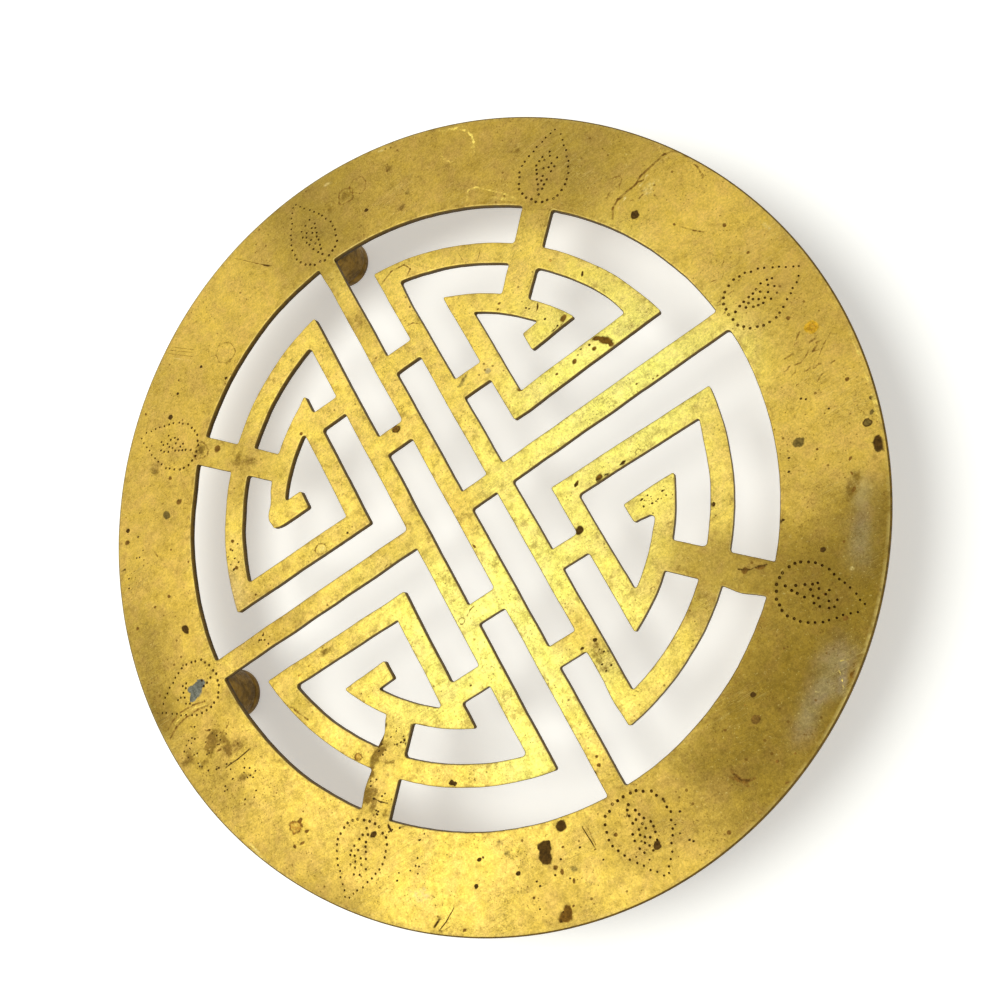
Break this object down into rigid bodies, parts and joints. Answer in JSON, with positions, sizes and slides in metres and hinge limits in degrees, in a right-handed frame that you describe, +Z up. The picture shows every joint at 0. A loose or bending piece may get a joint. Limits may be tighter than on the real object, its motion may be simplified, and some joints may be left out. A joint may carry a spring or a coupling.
{
  "type": "trivet",
  "caption": "Round brass trivet with a pierced fretwork centre and a punched rim, standing on turned feet soldered underneath.",
  "frame": {"origin": "on the table under the middle of the round plate, at the height of the feet's lower ends", "axes": "+Z up, square to the plate; +X along the fret's long bar, towards the right foot; +Y along the fret's spine, towards the back foot"},
  "size_m": [0.15, 0.15, 0.0167],
  "materials": {
    "sheet_brass": "worn hand-polished sheet with a thin brown patina, water stains and fine scratches",
    "turned_brass": "turned, dulled to brown",
    "solder": "dull grey soft solder"
  },
  "bodies": {
    "root": {"pierced_plate": "sheet_brass", "foot_right": "turned_brass", "foot_back": "turned_brass", "foot_left": "turned_brass", "foot_front": "turned_brass", "solder_right": "solder", "solder_back": "solder", "solder_left": "solder", "solder_front": "solder"}
  },
  "joints": []
}
